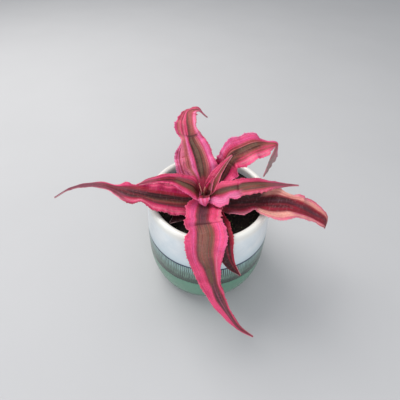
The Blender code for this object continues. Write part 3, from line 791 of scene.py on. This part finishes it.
# %% The leaves, from the root outwards
LEAVES = [
    Leaf("leaf_front", -92,
         [(5, 0, 81.4, 7, 8), (12.8, 0.1, 85, 11.4, 12), (28.9, -0.8, 91.5, 12.6, 11.3),
          (34.9, -0.2, 92.8, 13.3, 11.8), (40.9, 2, 91.8, 12.7, 13.2),
          (49.8, 2.1, 83.2, 12.3, 11.9), (54.5, 5.6, 73.3, 7.5, 9.9), (56.8, 8, 61.8, 5.4, 8.9),
          (63.4, 10.1, 50.4, 7.2, 3.8), (69, 18.9, 40.5, 3.8, 3.1), (75, 28.8, 30.8, 2.2, 0.9),
          (77.2, 38.1, 25.8, 0.5, 0.5)],
         "leaf_pink",
         # Up to the crease the band is dusky plum. This is partly painted shade, where that part of the
         # leaf faces away from the light. Past the fold the band is brighter.
         [(0, "0 hot, 8 hot, 15 mauve, 25 mauve, 30 rose, 34.5 dusk, 40 plum, 50 plum, 58 dusk, "
          "64 garnet, 69 rose, 78 hot, 84 rose, 90 hot, 95 blush, 100 rose"),
         (0.26, "0 hot, 12 hot, 20 mauve, 25 rose, 29 dusk, 34 umbra, 50 umbra, 57 olive, 60 russet, "
          "63 olive, 67 russet, 70 clay, 73 rose, 79 hot, 84 mauve, 89 hot, 100 mauve"),
         (0.44, "0 hot, 25 hot, 30 rose, 34 dusk, 40 olive, 50 olive, 58 dusk, 65 dusk, 70 russet, "
          "75 rose, 80 blush, 85 hot, 100 hot"),
         (0.6, "0 hot, 27 hot, 32 rose, 37 dusk, 44 plum, 50 thrift, 55 plum, 64 dusk, 70 garnet, "
          "76 rose, 82 hot, 88 crimson, 100 rose")],
         wave=(0.5, 1.4), length=(13.9, 15.1), phase=(0.65, 6.03), pinch=(28, 0.13),
         lean=[(0.0, 0.0), (0.52, 0.0), (0.6, 0.05), (0.68, 0.2), (0.74, 0.2), (0.84, 0.1)],
         crease_and_shade=(32.0, 0.3, 0.72, 0.8), bites=((35.6, 1.9, 1.1),), tip=(0.8, "garnet", 0.55)),
    Leaf("leaf_front_low", -70,
         [(5.6, 0, 79.4, 3.5, 3.5), (15, 0.5, 81, 6, 6), (29, 0, 83.6, 6.5, 6.5),
          (41, -2, 85.8, 6, 6.5), (48, -3, 81.6, 5, 6), (52.4, -1.5, 74.8, 3, 4.5),
          (59.5, 3.5, 66, 0.5, 0.5)],
         "leaf_crimson",
         [(0, "0 wine, 20 sloe, 45 umber, 55 garnet, 59 crimson, 63 wine, 76 umber, 82 crimson, "
          "92 crimson, 100 red")],
         wave=(1.0, 1.0), phase=(1.1, 3.2), line="garnet", sheen=0.2, rim=0.1),
    Leaf("leaf_right_low", -22,
         [(5.6, 0, 77, 4, 3.5), (14.1, 1.9, 79, 9, 7.2), (26.4, 2.8, 82.3, 11, 12.2),
          (35.6, 6.3, 84.5, 10.7, 6.3), (46.3, 6.7, 88.8, 13.5, 14.8),
          (59.1, 8.9, 89.7, 10.7, 13.2), (69, 11, 87.1, 11.8, 7.5), (77, 15.1, 80.6, 11.8, 6.5),
          (85.4, 15.4, 77.3, 6.3, 5.6), (86.7, 14.2, 73.4, 0.5, 0.5)],
         "leaf_peach",
         [(0, "0 crimson, 16 crimson, 26 garnet, 34 wine, 50 sloe, 62 wine, 80 sloe, 100 wine"),
         (0.19, "0 blush, 8 blush, 14 rose, 24 crimson, 30 garnet, 36 wine, 45 garnet, 55 sloe, "
          "68 wine, 80 sloe, 100 wine"),
         (0.41, "0 blush, 8 peach, 15 sand, 20 peach, 25 garnet, 31 crimson, 36 garnet, 41 wine, "
          "47 garnet, 52 wine, 60 plum, 69 umber, 75 garnet, 79 clay, 82 peach, 90 sand, "
          "96 peach, 100 blush"),
         (0.64, "0 blush, 10 peach, 19 blush, 25 crimson, 38 garnet, 45 crimson, 50 garnet, 58 plum, "
          "70 garnet, 74 crimson, 79 clay, 83 peach, 90 peach, 95 blush, 100 rose")],
         roll=(0, 4), wave=(0.8, 0.9), length=(16.2, 18), phase=(1.73, 6.95), line="brick",
         lean=[(0.0, 0.0), (0.25, 0.03), (0.38, -0.03), (0.5, 0.0), (0.6, 0.05), (0.7, 0.0)],
         scurf=0.22, sheen=0.2, bites=((19.5, 0.5, 1.8), (23.6, -0.7, 1.6)),
         tip=(0.84, "garnet", 0.55)),
    Leaf("leaf_right_up", -8,
         [(4.7, 0, 83.7, 4, 6), (7.9, -1.3, 88.2, 6.5, 10.4), (12.4, -1.6, 90.7, 9.5, 15.7),
          (17.4, -0.8, 92.9, 8.5, 11.6), (22.7, -0.9, 94.9, 9.1, 8.5),
          (32.8, 2.3, 96.1, 8.1, 8.4), (44.9, 5.8, 96.2, 4.6, 5), (55.1, 9.4, 94.7, 2, 2.2),
          (65.7, 12.6, 93.2, 0.5, 0.5)],
         "leaf_pink",
         [(0, "0 mauve, 10 pale, 24 pale, 35 mauve, 41 rose, 45 russet, 51 olive, 63 bark, "
          "70 garnet, 76 rose, 85 hot, 100 hot"),
         (0.35, "0 rose, 10 blush, 17 hot, 23 clay, 29 clay, 34 dusk, 40 olive, 48 russet, 55 olive, "
          "65 olive, 74 bark, 79 rose, 83 hot, 100 hot")],
         wave=(0.4, 0.6), length=(13.4, 14.3), phase=(2.03, 6.5), pinch=(24, 0.12),
         crease_and_shade=(22.6, 0.46, 0.72, 0.7), frill=(1.3, 2.2),
         bites=((14.6, -1.5, 1.6), (18.0, 0.9, 0.9), (21.8, -1.5, 1.8), (26.0, 0.6, 1.6)),
         tip=(0.6, "thrift", 0.6)),
    Leaf("leaf_back_right", 45,
         [(5.4, 0, 81, 4, 3), (13.5, 0.5, 86, 6.5, 6), (18.5, -0.6, 92.7, 9.5, 8.8),
          (21.6, -1, 100.4, 10.4, 11.5), (23.9, -2.3, 108.4, 11, 10.5),
          (27.9, -7.8, 114.1, 11.1, 10.5), (36, -11.4, 116.6, 9.3, 9.6),
          (45.4, -14.9, 115.9, 2, 8.1), (49.8, -19, 115.2, 2.2, 3), (47, -19.7, 104.8, 6.6, 1.9),
          (38, -22.2, 93.8, 0.5, 0.5)],
         "leaf_pink",
         [(0, "0 mauve, 22 hot, 32 magenta, 36 wine, 42 bark, 54 umber, 66 garnet, 74 crimson, "
          "82 magenta, 100 magenta"),
         (0.3, "0 magenta, 10 hot, 18 rose, 23 garnet, 32 bark, 42 olive, 52 umber, 60 bark, "
          "64 tan, 68 garnet, 73 rose, 80 hot, 88 pale, 95 mauve, 100 pale"),
         (0.42, "0 hot, 5 hot, 10 blush, 16 blush, 20 hot, 25 clay, 30 rose, 34 clay, 39 russet, "
          "43 bark, 50 olive, 57 olive, 61 bark, 64 tan, 67 crimson, 71 clay, 75 hot, "
          "82 mauve, 90 hot, 100 pale"),
         (0.6, "0 hot, 10 blush, 18 hot, 25 clay, 34 rose, 42 clay, 50 russet, 58 bark, 64 clay, "
          "70 rose, 80 hot, 100 pale")],
         wave=(1.2, 2.1), length=(13.4, 16), phase=(1.73, 2.41), pinch=(27, 0.06),
         crease_and_shade=(29, 0.62, 1.0, 0.3), scurf=0.15, frill=(3.2, 1.5), tip=(0.72, "ash", 0.95)),
    Leaf("leaf_inner_right", 50,
         [(1.4, -0.4, 87, 2.6, 3.6), (2.4, -2, 92.5, 3.8, 5.4), (4.6, -3.8, 99.5, 4.2, 4.6),
          (8.2, -5.6, 106, 3.4, 2.6), (11.5, -7.7, 112.5, 1.8, 1.6), (14.4, -9.8, 117.5, 0.5, 0.5)],
         "leaf_rose",
         [(0, "0 blush, 6 rose, 12 clay, 20 olive, 28 russet, 35 olive, 41 clay, 46 pale, "
          "50 blush, 53 rose, 58 crimson, 64 rose, 72 hot, 82 hot, 90 rose, 100 hot")],
         cup=0.2, wave=(0.5, 0.5), length=(9, 9), phase=(0.2, 2.3), scurf=0.3,
         # The dark root is painted shade in the heart of the plant.
         root=(7.0, "ember", 0.5)),
    Leaf("leaf_back", 102,
         [(5.2, 0, 82.7, 4, 4.5), (9.1, 0, 90.5, 6, 8.5), (13.4, -0.2, 99.6, 12.6, 10.6),
          (21.3, 1, 106.9, 13.7, 8.8), (28.8, 4.6, 113.2, 9.2, 8.9),
          (36.5, 4.5, 118.5, 11.4, 4.5), (46.2, 4, 118.3, 9.7, 5.6), (55, 2.8, 120.3, 3.6, 6.7),
          (59.5, -5.4, 118.8, 4.4, 2.6), (61, -11.1, 113, 3.6, 0.8),
          (63.2, -13.8, 109.8, 0.5, 0.5)],
         "leaf_pink",
         [(0, "0 rose, 7 mauve, 15 pale, 21 mauve, 25 rose, 28 blush, 31 clay, 35 tan, 39 olive, "
          "43 russet, 47 bark, 51 olive, 58 olive, 62 umber, 65 bark, 68 rose, 72 mauve, "
          "76 pale, 80 blush, 84 clay, 90 tan, 94 blush, 100 blush"),
         (0.475, "0 rose, 5 blush, 13 pale, 20 blush, 26 rose, 31 clay, 40 clay, 46 clay, 54 russet, "
          "59 bark, 63 rose, 68 hot, 73 blush, 78 crimson, 82 hot, 87 tan, 93 rose, 100 mauve")],
         wave=(1.7, 1.2), length=(14.4, 13.2), phase=(3.79, 4.57), pinch=(42, 0.1),
         crease_and_shade=(43, 0.2, 0.66, 0.9), root=(11.0, "rose", 0.9), frill=(2.4, 1.4),
         tip=(0.84, "blush", 0.6)),
    Leaf("leaf_left_up", 172,
         [(5, 0, 85.4, 8.5, 4), (9.3, 2, 93.3, 10.8, 7.4), (15.7, 4.8, 98.9, 7, 5.6),
          (23.7, 6.9, 102.8, 4.7, 3.7), (30.5, 11.4, 104.4, 2.3, 3.0),
          (37.7, 13.5, 103.2, 1.5, 2.1), (43.8, 13.9, 100.2, 0.5, 0.5)],
         "leaf_rose",
         [(0, "0 rose, 12 hot, 20 rose, 26 thrift, 32 clay, 37 dusk, 43 clay, 49 umber, 57 olive, "
          "66 olive, 73 russet, 79 rose, 88 hot, 100 mauve"),
         (0.47, "0 hot, 15 rose, 24 hot, 32 magenta, 40 garnet, 50 crimson, 60 wine, 70 garnet, "
          "80 magenta, 88 hot, 100 hot")],
         roll=(-5, -5), frill=(2.6, 1.4), wave=(0.8, 0.9), length=(11.3, 11.4), phase=(1.02, 2.36),
         # The dark root is painted shade in the heart of the plant.
         clasp=(4.5, 0.0), root=(7.0, "ember", 0.7), tip=(0.68, "thrift", 0.5)),
    Leaf("leaf_left_low", 192,
         [(5.6, 0, 80.2, 4, 4), (12.8, 1.4, 82, 12.3, 9), (24.7, 1.9, 85.5, 13.5, 12.5),
          (35.2, 1.8, 88.9, 11.9, 12.9), (44.2, 0.4, 92, 7.9, 10.6), (53.9, -1.5, 95, 10.4, 7.9),
          (61.4, -4, 96.9, 5.4, 3.5), (69.7, -6.6, 99.3, 3.7, 2.5), (81.2, -9.8, 98.2, 2.8, 1.6),
          (94.4, -14.7, 91.9, 2.2, 1.1), (107.7, -18.2, 82.1, 0.5, 0.5)],
         "leaf_crimson",
         [(0, "0 hot, 5 magenta, 10 hot, 16 magenta, 23 magenta, 28 crimson, 33 crimson, 37 sloe, "
          "42 umber, 48 sloe, 54 bark, 60 russet, 66 garnet, 69 dusk, 73 magenta, 78 rose, "
          "84 hot, 88 blush, 93 hot, 100 magenta"),
         (0.34, "0 hot, 12 magenta, 20 crimson, 30 garnet, 38 plum, 48 sloe, 56 garnet, 62 umber, "
          "70 dusk, 74 crimson, 78 rose, 85 blush, 93 hot, 100 crimson"),
         (0.46, "0 hot, 14 hot, 19 magenta, 25 garnet, 35 dusk, 48 garnet, 60 wine, 72 murk, "
          "84 garnet, 93 thrift, 100 blush")],
         roll=(-14, 0), wave=(0.5, 0.9), length=(12.5, 12.9), phase=(1.72, 5.17), pinch=(42, 0.1),
         scurf=0.18, frill=(1.2, 0.6), bites=((47.4, 1.5, 3.2), (54.8, -1.5, 2.3)),
         tip=(0.54, "murk", 0.75)),
    # This maroon leaf lies under leaf_left_low. Its dark stripes and its near-black tip are partly its
    # own colour and partly painted shade.
    Leaf("leaf_low_left", 226,
         [(5.6, 0, 77.6, 3.5, 3), (13, 0, 78.3, 7, 7), (21, 0, 79.4, 7.2, 7),
          (28, -0.5, 79.8, 3.6, 3.4), (33.5, -1, 79.4, 0.5, 0.5)],
         "leaf_maroon",
         [(0, "0 umber, 30 umber, 60 wine, 85 umber, 100 wine")],
         wave=(0.8, 0.8), length=(9, 9), phase=(2.0, 4.1), line="soot", sheen=0.15, rim=0.0,
         tip=(0.5, "sloe", 0.9)),
    Leaf("leaf_back_low", 114,
         [(5.6, 0, 78.6, 3.5, 3.5), (14, 0.2, 83.5, 7, 7), (26.1, 1.4, 89.9, 11.4, 9),
          (38.1, -0.1, 94.1, 8.8, 8.5), (48.5, -3.1, 94.8, 4.6, 6), (57.2, -3.1, 92.2, 0.5, 0.5)],
         "leaf_crimson",
         [(0, "0 red, 20 rose, 30 russet, 42 clay, 50 crimson, 56 blush, 62 pale, 66 magenta, "
          "70 pale, 78 blush, 81 crimson, 85 pale, 91 rose, 95 pale, 100 pale")],
         wave=(1.1, 1.3), length=(12, 11), phase=(0.87, 3.5), frill=(1.8, 1.4), line="mauve"),
    Leaf("leaf_heart_a", 182,
         [(2.6, 0, 86.4, 1.3, 1.3), (3.2, 0, 90.3, 2, 2), (4.6, 0, 95.5, 0.5, 0.5)],
         "leaf_rose", [(0, "0 peach, 10 clay, 30 bark, 55 ember, 85 clay, 100 peach")],
         cup=0.0, wave=(0.2, 0.2), length=(6, 6), young=True),
    Leaf("leaf_heart_b", 235,
         [(1.7, 1.9, 86.4, 2.1, 2.3), (1.6, 2.7, 90.7, 3.1, 3.3), (-0.3, 3.7, 97, 1.9, 1.9),
          (-2.4, 4.6, 102, 0.5, 0.5)],
         "leaf_rose", [(0, "0 peach, 14 tan, 26 russet, 38 ember, 55 wine, 72 umber, 88 bark, 100 tan"),
         (0.42, "0 hot, 16 magenta, 32 crimson, 48 ember, 64 russet, 84 thrift, 100 blush"),
         (0.72, "0 hot, 30 rose, 60 thrift, 80 rose, 100 blush")],
         cup=0.0, wave=(0.2, 0.2), length=(6, 6), young=True),
    Leaf("leaf_heart_c", 266,
         [(4.6, 0, 87.4, 2.6, 2.2), (8.6, -0.5, 91.2, 3.9, 3), (13.2, 0.5, 91.2, 3, 4.1),
          (14.2, 1.2, 88, 0.5, 0.5)],
         "leaf_pink",
         [(0, "0 rose, 20 crimson, 45 wine, 70 garnet, 90 crimson, 100 rose"),
         (0.58, "0 mauve, 20 pale, 35 hot, 50 pale, 65 mauve, 80 hot, 100 pale")],
         # The dark root is painted shade in the heart of the plant.
         cup=0.1, frill=(2.8, 2.8), wave=(0.5, 0.6), length=(5, 4.4), root=(5.5, "wine", 0.9),
         young=True),
]
print("leaves:", len(LEAVES))


# %% A smooth curve through the stations
def smooth(knots, values, at):
    """Cubic pieces through the values, with slopes from the neighbours."""
    steps = np.diff(knots)[:, None]
    slopes = np.diff(values, axis=0) / steps
    inner = (slopes[:-1] * steps[1:] + slopes[1:] * steps[:-1]) / (steps[1:] + steps[:-1])
    tangents = np.vstack([slopes[:1], inner, slopes[-1:]])
    piece = np.clip(np.searchsorted(knots, at, side="right") - 1, 0, len(knots) - 2)
    width = steps[piece]
    part = (at[:, None] - knots[piece][:, None]) / width
    start, end = values[piece], values[piece + 1]
    first, second = tangents[piece] * width, tangents[piece + 1] * width
    rest = 1 - part
    return (start * rest * rest * (1 + 2 * part) + end * part * part * (3 - 2 * part)
            + first * part * rest * rest - second * part * part * rest)


def centre_line(leaf):
    """Fine points along the leaf's middle, with its side and up directions and half-widths."""
    stations = np.array(leaf.stations, float)
    spans = np.linalg.norm(np.diff(stations[:, :3], axis=0), axis=1)
    knots = np.concatenate([[0.0], np.cumsum(spans)])
    along = np.linspace(0.0, knots[-1], FINE_STEPS + 1)
    values = smooth(knots, stations, along)
    middle = values[:, :3]
    widths = np.maximum(values[:, 3:5], TIP_HALF_WIDTH)
    tangent = np.gradient(middle, axis=0)
    tangent /= np.linalg.norm(tangent, axis=1)[:, None]
    side = np.zeros_like(middle)
    carried = np.array([0.0, 1.0, 0.0])
    for k in range(len(middle)):
        carried = carried - tangent[k] * carried.dot(tangent[k])
        carried = carried / np.linalg.norm(carried)
        side[k] = carried
    up = np.cross(tangent, side)
    roll = np.radians(np.linspace(leaf.roll[0], leaf.roll[1], len(along)))[:, None]
    side = side * np.cos(roll) + up * np.sin(roll)
    return along, middle, side, np.cross(tangent, side), widths


# %% [markdown]
# The blade's form
#
# The blade is bent from a flat grid. Across it runs a shallow channel, and towards the edges
# it waves. On top of the large waves of the construction model come four finer things: small
# ripples close to the edge, a sharp fold where the leaf is creased, bites and lobes in one
# edge, and the teeth. A tooth rises slowly towards the tip and drops quickly, so it points
# along the leaf.

# %% Fine forms of the blade
TOOTH_PITCH = 1.2
TOOTH_HEIGHT = 0.95
TOOTH_REACH = 22.0
RIPPLE = 0.32
RIPPLE_LENGTH = 4.6
RIB = 0.05
RIBS = 9.0
CREASE_DEPTH = 0.6
FOLD_BOW = 2.4
CREASE_REACH = 0.9


def teeth(at, seed):
    """Height of the saw teeth along an edge, from 0 to 1, with uneven pitch and size."""
    uneven = at / TOOTH_PITCH + 0.35 * np.sin(at * 0.9 + seed) + 0.3 * np.sin(at * 0.37 + 2 * seed)
    part = uneven % 1.0
    size = 0.72 + 0.28 * np.sin(2.3 * np.floor(uneven) + seed)
    return size * np.where(part < 0.68, part / 0.68, (1.0 - part) / 0.32) ** 1.4


def bent(leaf, part, across):
    """Points of the blade's middle surface. Part runs from 0 at the root to 1 at the tip, and
    across from -1 at the right edge to 1 at the left."""
    along, middle, side, up, widths = centre_line(leaf)
    length = along[-1]
    at = part * length
    middle, side, up, widths = [
        np.stack([np.interp(at, along, column) for column in field.T], axis=1)
        for field in (middle, side, up, widths)]
    grown = np.clip((at - WAVE_FROM) / WAVE_GROWS_OVER, 0.0, 1.0)
    fading = np.clip((length - at) / WAVE_FADES_OVER, 0.0, 1.0)
    ramp = grown * fading
    pinch_at, pinch_depth = leaf.pinch
    pinched = 1.0 - pinch_depth * np.exp(-((at - pinch_at) / PINCH_REACH) ** 2)
    near = np.exp(-((at / CLASP_REACH) ** 2))
    left = across > 0
    half = np.where(left, widths[:, 0], widths[:, 1])
    phase = np.where(left, *leaf.phase)
    turn = math.tau * at / np.where(left, *leaf.length) + phase
    turn = turn + WANDER * np.sin(at / WANDER_LENGTH + phase)
    edge = np.abs(across) ** EDGE_POWER
    reach = across * half * pinched * (1.0 + SCALLOP * ramp * edge * np.cos(turn))
    height = np.where(left, *leaf.wave) * np.minimum(half / WAVE_WIDTH, WIDEST_WAVE)
    lift = (leaf.cup + CLASP_CUP * near) * half * across ** 2
    lift = lift + height * ramp * edge * np.sin(turn)
    slim = np.minimum(half / WAVE_WIDTH, 1.0)
    tooth = TOOTH_HEIGHT * teeth(at, phase) * np.minimum(fading * 2.0, 1.0) * np.sqrt(slim)
    reach = reach + np.sign(across) * (tooth - TOOTH_HEIGHT * 0.35) * np.abs(across) ** TOOTH_REACH
    fine = np.sin(math.tau * at / RIPPLE_LENGTH + 3.0 * np.sin(at / 7.0 + phase) + phase)
    swell = 0.6 + 0.4 * np.sin(at / 5.3 + 2.0 * phase)
    frill = RIPPLE * np.where(left, *leaf.frill) * slim * swell * np.minimum(fading * 2.0, 1.0)
    lift = lift + frill * np.abs(across) ** 5 * fine
    for bite_at, depth, extent in leaf.bites:
        bite = depth * np.exp(-(((at - bite_at) / extent) ** 2))
        reach = reach + np.where(left, 0.0, bite * edge ** 2)
    lift = lift + RIB * slim * np.cos(across * math.tau * RIBS / 2)
    if leaf.crease_and_shade:
        bow = leaf.crease_and_shade[0] + FOLD_BOW * across ** 2 - at
        lift = lift - CREASE_DEPTH * np.exp(-((bow / CREASE_REACH) ** 2)) * (1.0 - 0.5 * edge)
    hold = np.where(left, *leaf.clasp) * near * across ** 2
    inward = np.array([-1.0, 0.0, 0.0])
    return middle + side * reach[:, None] + up * lift[:, None] + inward * hold[:, None]


# %% [markdown]
# Making one blade
#
# The grid comes from Blender's own primitive, whose UV map already runs from root to tip and
# from edge to edge. Its columns are drawn towards the two edges, where the teeth need them.
# The Solidify modifier then gives it a body that is thick in the middle and thin at the edge,
# and puts the underside on a material of its own.

# %% Grid, bend, thicken
ROW_STEP = 0.3
COLUMNS = 30
EDGE_DRAW = 1.45
BLADE_MIDDLE = 1.15
BLADE_EDGE = 0.45


def blade(leaf, top_skin, under_skin):
    """A leaf: a flat grid bent to its shape and thickened."""
    length = centre_line(leaf)[0][-1]
    rows = round(length / ROW_STEP)
    bpy.ops.object.select_all(action="DESELECT")
    bpy.ops.mesh.primitive_grid_add(x_subdivisions=rows, y_subdivisions=COLUMNS, size=2.0)
    made = bpy.context.active_object
    made.name = leaf.name + "_blade"
    mesh = made.data
    flat = np.array([vert.co[:] for vert in mesh.vertices])
    part = (flat[:, 0] + 1.0) / 2.0
    across = np.sign(flat[:, 1]) * (1.0 - (1.0 - np.abs(flat[:, 1])) ** EDGE_DRAW)
    turn = math.radians(leaf.heading)
    points = bent(leaf, part, across)
    x = STEM_AT[0] + points[:, 0] * math.cos(turn) - points[:, 1] * math.sin(turn)
    y = STEM_AT[1] + points[:, 0] * math.sin(turn) + points[:, 1] * math.cos(turn)
    mesh.vertices.foreach_set("co", (np.stack([x, y, points[:, 2]], axis=1) * MM).ravel())
    corner = np.zeros(len(mesh.loops), int)
    mesh.loops.foreach_get("vertex_index", corner)
    spread = np.stack([part, (across + 1.0) / 2.0], axis=1)[corner]
    mesh.uv_layers.active.data.foreach_set("uv", spread.ravel())
    inside = made.vertex_groups.new(name="inside")
    for k, place in enumerate(np.abs(across)):
        inside.add([k], max(0.0, 1.0 - place ** 1.5), "REPLACE")
    mesh.materials.append(top_skin)
    mesh.materials.append(under_skin)
    finish_with(made, "SOLIDIFY", thickness=BLADE_MIDDLE * MM, offset=0.0, vertex_group="inside",
                thickness_vertex_group=BLADE_EDGE / BLADE_MIDDLE, material_offset=1,
                material_offset_rim=0)
    smooth_by(made, 60.0)
    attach(made, "root")
    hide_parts(leaf.name)
    return made


# %% [markdown]
# The leaf's skin
#
# Every stripe follows the leaf, so the skin reads the UV map: one direction runs along the
# leaf and the other across it. A colour ramp across holds the broad stripes. Two noises that
# are stretched lengthwise push the borders to and fro and add hair-fine lines, as the veins
# do. Small silver scales, which these plants wear, lie in faint rows across the dark band.

# %% Leaf skin
# How faint the painted shade along a crease stays in the margins.
FAINT_CREASE_SHADE = 0.25
LINE_DARK = ink(176, 92, 116)
RIM_PALE = ink(255, 176, 190)
PATCH_RED = ink(150, 60, 78)
BLOOM_GREY = ink(178, 138, 140)
VEIN_GREY = ink(120, 66, 76)
PATCH_DEPTH = 0.3
PATCH_BAND = (0.42, 0.75)
RIM_BAND = (0.475, 0.497)
SILVER_ROWS = (0.5, 0.68)
SILVER_SPECKS = (0.48, 0.64)
STAGE_EASE = 0.03
STAGE_STRAY = 0.12
TIP_STRAY = 0.2
TIP_EASE = 0.15
# How the painted shade along a crease eases off at its ends across the leaf.
CREASE_SHADE_EASE = (0.08, 0.04)
BORDER_PUSH = (("broad", 0.035), ("veins", 0.075), ("more", 0.03))
# length and width of a streak in mm, its share of the seed, detail and roughness of the noise
STREAKS = {
    "broad": (22.0, 2.2, 0.0, 2.0, 0.5), "veins": (34.0, 0.5, 3.0, 1.0, 0.5),
    "more": (26.0, 0.85, 5.0, 1.0, 0.5), "hairs": (16.0, 0.24, 7.0, 1.0, 0.5),
    "patch": (9.0, 7.0, 11.0, 3.0, 0.5), "grain": (1.1, 0.45, 13.0, 3.0, 0.7),
    "rows": (1.3, 5.0, 17.0, 2.0, 0.5), "specks": (0.45, 0.3, 23.0, 1.0, 0.5),
    "under veins": (30.0, 0.5, 3.0, 2.0, 0.6), "bloom": (3.0, 1.2, 5.0, 4.0, 0.6),
}
# streak, where it starts and is full, strength, colour (none is the leaf's own line) and blend
TINTS = (
    ("veins", 0.45, 0.36, 0.34, LINE_DARK, "MULTIPLY"), ("more", 0.57, 0.64, 0.26, None, "MIX"),
    ("hairs", 0.5, 0.7, 0.3, RIM_PALE, "SOFT_LIGHT"), ("hairs", 0.46, 0.32, 0.6, LINE_DARK, "MULTIPLY"),
    ("grain", 0.52, 0.36, 0.4, LINE_DARK, "MULTIPLY"), ("grain", 0.54, 0.7, 0.28, RIM_PALE, "SOFT_LIGHT"),
)


def leaf_places(skin, leaf):
    """Millimetres along the leaf and across it, and the share from edge to edge."""
    length = centre_line(leaf)[0][-1]
    half = max(max(station[3:5]) for station in leaf.stations)
    spread = skin.node("ShaderNodeUVMap", {}, {})
    part = skin.node("ShaderNodeSeparateXYZ", {}, {0: spread})
    cross = part.beside(1)
    return part, cross, part * length, (cross - 0.5) * (2.0 * half)


def streak(skin, at, wide, name, seed):
    """A noise that is stretched along the leaf."""
    long, thin, shift, detail, rough = STREAKS[name]
    return skin.noise(skin.point(at / long, wide / thin, seed + shift), 1.0, detail, rough)


def leaf_skin(leaf, seed):
    """The upper side of a leaf: stripes, fine lines, painted shade along the crease and silver scales."""
    skin = Recipe(leaf.name + "_skin", Specular_IOR_Level=leaf.sheen, Coat_Weight=0.03,
                  Coat_Roughness=0.3, Subsurface_Weight=0.06, Subsurface_Scale=0.001)
    part, cross, at, wide = leaf_places(skin, leaf)
    made = {name: streak(skin, at, wide, name, seed)
            for name in ("broad", "veins", "more", "hairs", "grain", "patch", "rows", "specks")}
    broad, veins, more, hairs = [made[name] for name in ("broad", "veins", "more", "hairs")]
    shifted = cross
    for name, push in BORDER_PUSH:
        shifted = shifted + (made[name] - 0.5) * push
    if leaf.lean:
        greys = [(place, (0.5 + push,) * 3 + (1.0,)) for place, push in leaf.lean]
        shifted = shifted + 0.5 - skin.ramp(greys, part)
    colour = skin.ramp(stripes(leaf.stages[0][1]), shifted)
    for begins, stops in leaf.stages[1:]:
        stray = part + (veins - 0.5) * STAGE_STRAY
        passing = skin.step(stray, begins - STAGE_EASE, begins + STAGE_EASE)
        colour = skin.mix(passing, colour, skin.ramp(stripes(stops), shifted))
    # The tint near the root: where it is dark, it is painted shade in the heart of the plant.
    reach, hue, amount = leaf.root
    if amount > 0:
        near = skin.step(at + (veins - 0.5) * reach, reach * 1.2, reach * 0.8, 0.0, amount)
        colour = skin.mix(near, colour, PALETTE[hue])
    begins, hue, amount = leaf.tip
    if amount > 0:
        stray = part + (broad - 0.5) * TIP_STRAY
        far_out = skin.step(stray, begins, begins + TIP_EASE, 0.0, amount)
        colour = skin.mix(far_out, colour, PALETTE[hue])
    for name, low, high, amount, hue, blend in TINTS:
        factor = skin.step(made[name], low, high) * amount
        colour = skin.mix(factor, colour, hue or PALETTE[leaf.line], blend)
    rim = skin.step(abs(cross - 0.5), *RIM_BAND)
    colour = skin.mix(rim * leaf.rim, colour, RIM_PALE)
    patch = skin.step(made["patch"], *PATCH_BAND) * PATCH_DEPTH
    colour = skin.mix(patch, colour, PATCH_RED, "MULTIPLY")
    # Painted shade along the crease: a soft dark band across the leaf, wider on the root's side of the
    # fold and faint in the margins.
    if leaf.crease_and_shade:
        middle, right, left, amount = leaf.crease_and_shade
        bow = at - middle - ((cross - 0.5) * 2.0) ** 2.0 * FOLD_BOW + (veins - 0.5) * 0.8
        crease_and_shade = skin.step(bow, -2.6, -0.2) * skin.step(bow, 0.9, 0.1) * amount
        outer, inner = CREASE_SHADE_EASE
        crease_and_shade = crease_and_shade * skin.step(cross, right - outer, right + inner, FAINT_CREASE_SHADE, 1.0)
        crease_and_shade = crease_and_shade * skin.step(cross, left + outer, left - inner, FAINT_CREASE_SHADE, 1.0)
        colour = skin.mix(crease_and_shade, colour, PALETTE["wine"])
    silver = skin.step(made["rows"], *SILVER_ROWS) * skin.step(made["specks"], *SILVER_SPECKS)
    colour = skin.mix(silver * leaf.scurf, colour, PALETTE["silver"])
    skin.set("Base Color", colour)
    skin.set("Roughness", 0.45 + veins * 0.15 + silver * 0.2)
    skin.bump(veins * 0.6 + hairs * 0.3 + more * 0.4 + silver * 0.4, 0.5, 0.0004)
    return skin.material


def under_skin(leaf, seed):
    """The lower side: greyer, with a pale bloom and the stripes shining through."""
    skin = Recipe(leaf.name + "_under", Specular_IOR_Level=0.25)
    part, cross, at, wide = leaf_places(skin, leaf)
    veins = streak(skin, at, wide, "under veins", seed)
    bloom = streak(skin, at, wide, "bloom", seed)
    through = skin.ramp(stripes(leaf.stages[-1][1]), cross + (veins - 0.5) * 0.12)
    colour = skin.mix(0.5 + bloom * 0.3, through, BLOOM_GREY)
    colour = skin.mix(skin.step(veins, 0.45, 0.3) * 0.35, colour, VEIN_GREY)
    skin.set("Base Color", colour)
    skin.set("Roughness", 0.55 + bloom * 0.2)
    skin.bump(veins * 0.7 + bloom * 0.3, 0.4, 0.0004)
    return skin.material


# %% All the blades
total = 0
for number, leaf in enumerate(LEAVES):
    top = leaf_skin(leaf, 10.0 * number)
    made = blade(leaf, top, top if leaf.young else under_skin(leaf, 10.0 * number))
    total += len(made.data.polygons)
print("blade faces:", total)
